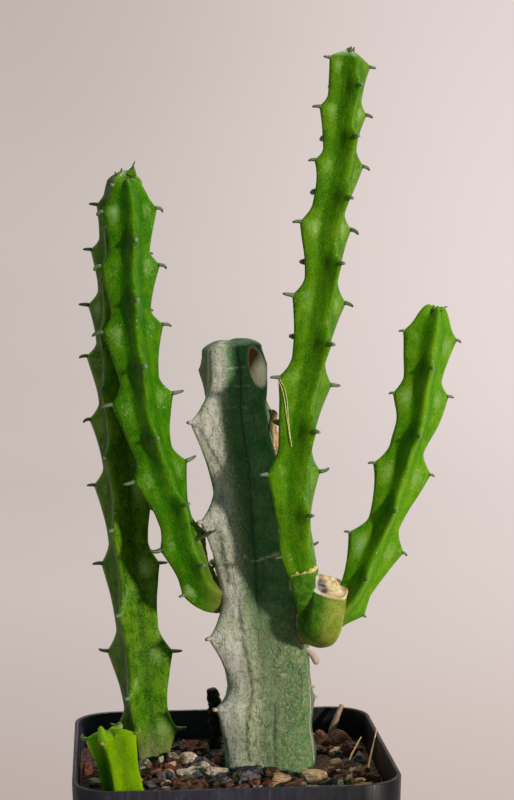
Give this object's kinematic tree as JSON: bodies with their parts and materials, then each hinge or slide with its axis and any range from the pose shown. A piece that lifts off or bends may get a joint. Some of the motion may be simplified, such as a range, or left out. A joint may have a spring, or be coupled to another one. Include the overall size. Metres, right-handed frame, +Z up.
{
  "type": "potted caralluma",
  "caption": "Leafless succulent with four-angled toothed green stems, an old grey main stem and a sawn-off branch, growing in gritty soil in a square dark plastic nursery pot",
  "frame": {"origin": "middle of the flat underside of the pot, on the surface it stands on", "axes": "+Z up along the pot's upright axis; -Y is the front, the side the picture shows; +X is the viewer's right"},
  "size_m": [0.0931, 0.075, 0.2377],
  "materials": {
    "pot_plastic": "dark charcoal injection-moulded plastic, satin, with fine scuffs",
    "soil_mix": "dark gritty succulent mix with bark chips, pumice and lava pieces",
    "old_stem_skin": "old grey-green corky stem skin, dull, cracked and mottled",
    "cut_branch_skin": "olive green stem skin with a pale dry callus on its cut face",
    "green_stem_skin": "smooth waxy green succulent skin, glossy on the angles, with pale bloom at the teeth",
    "young_stem_skin": "bright yellow-green young waxy succulent skin",
    "dry_husk_scrap": "thin dry papery tan skin, curled",
    "dry_twig": "withered dark brown twig and grey-brown wood sliver, rough",
    "dry_straw": "pale dry straw, satin"
  },
  "bodies": {
    "root": {"pot": "pot_plastic", "soil": "soil_mix", "main_stem": "old_stem_skin", "cut_branch": "cut_branch_skin", "tall_branch": "green_stem_skin", "right_branch": "green_stem_skin", "left_branch": "green_stem_skin", "rear_stem": "green_stem_skin", "front_sprout": "young_stem_skin", "dry_husk": "dry_husk_scrap", "withered_twig": "dry_twig", "wood_sliver": "dry_twig", "long_straw": "dry_straw", "short_straw": "dry_straw"}
  },
  "joints": []
}
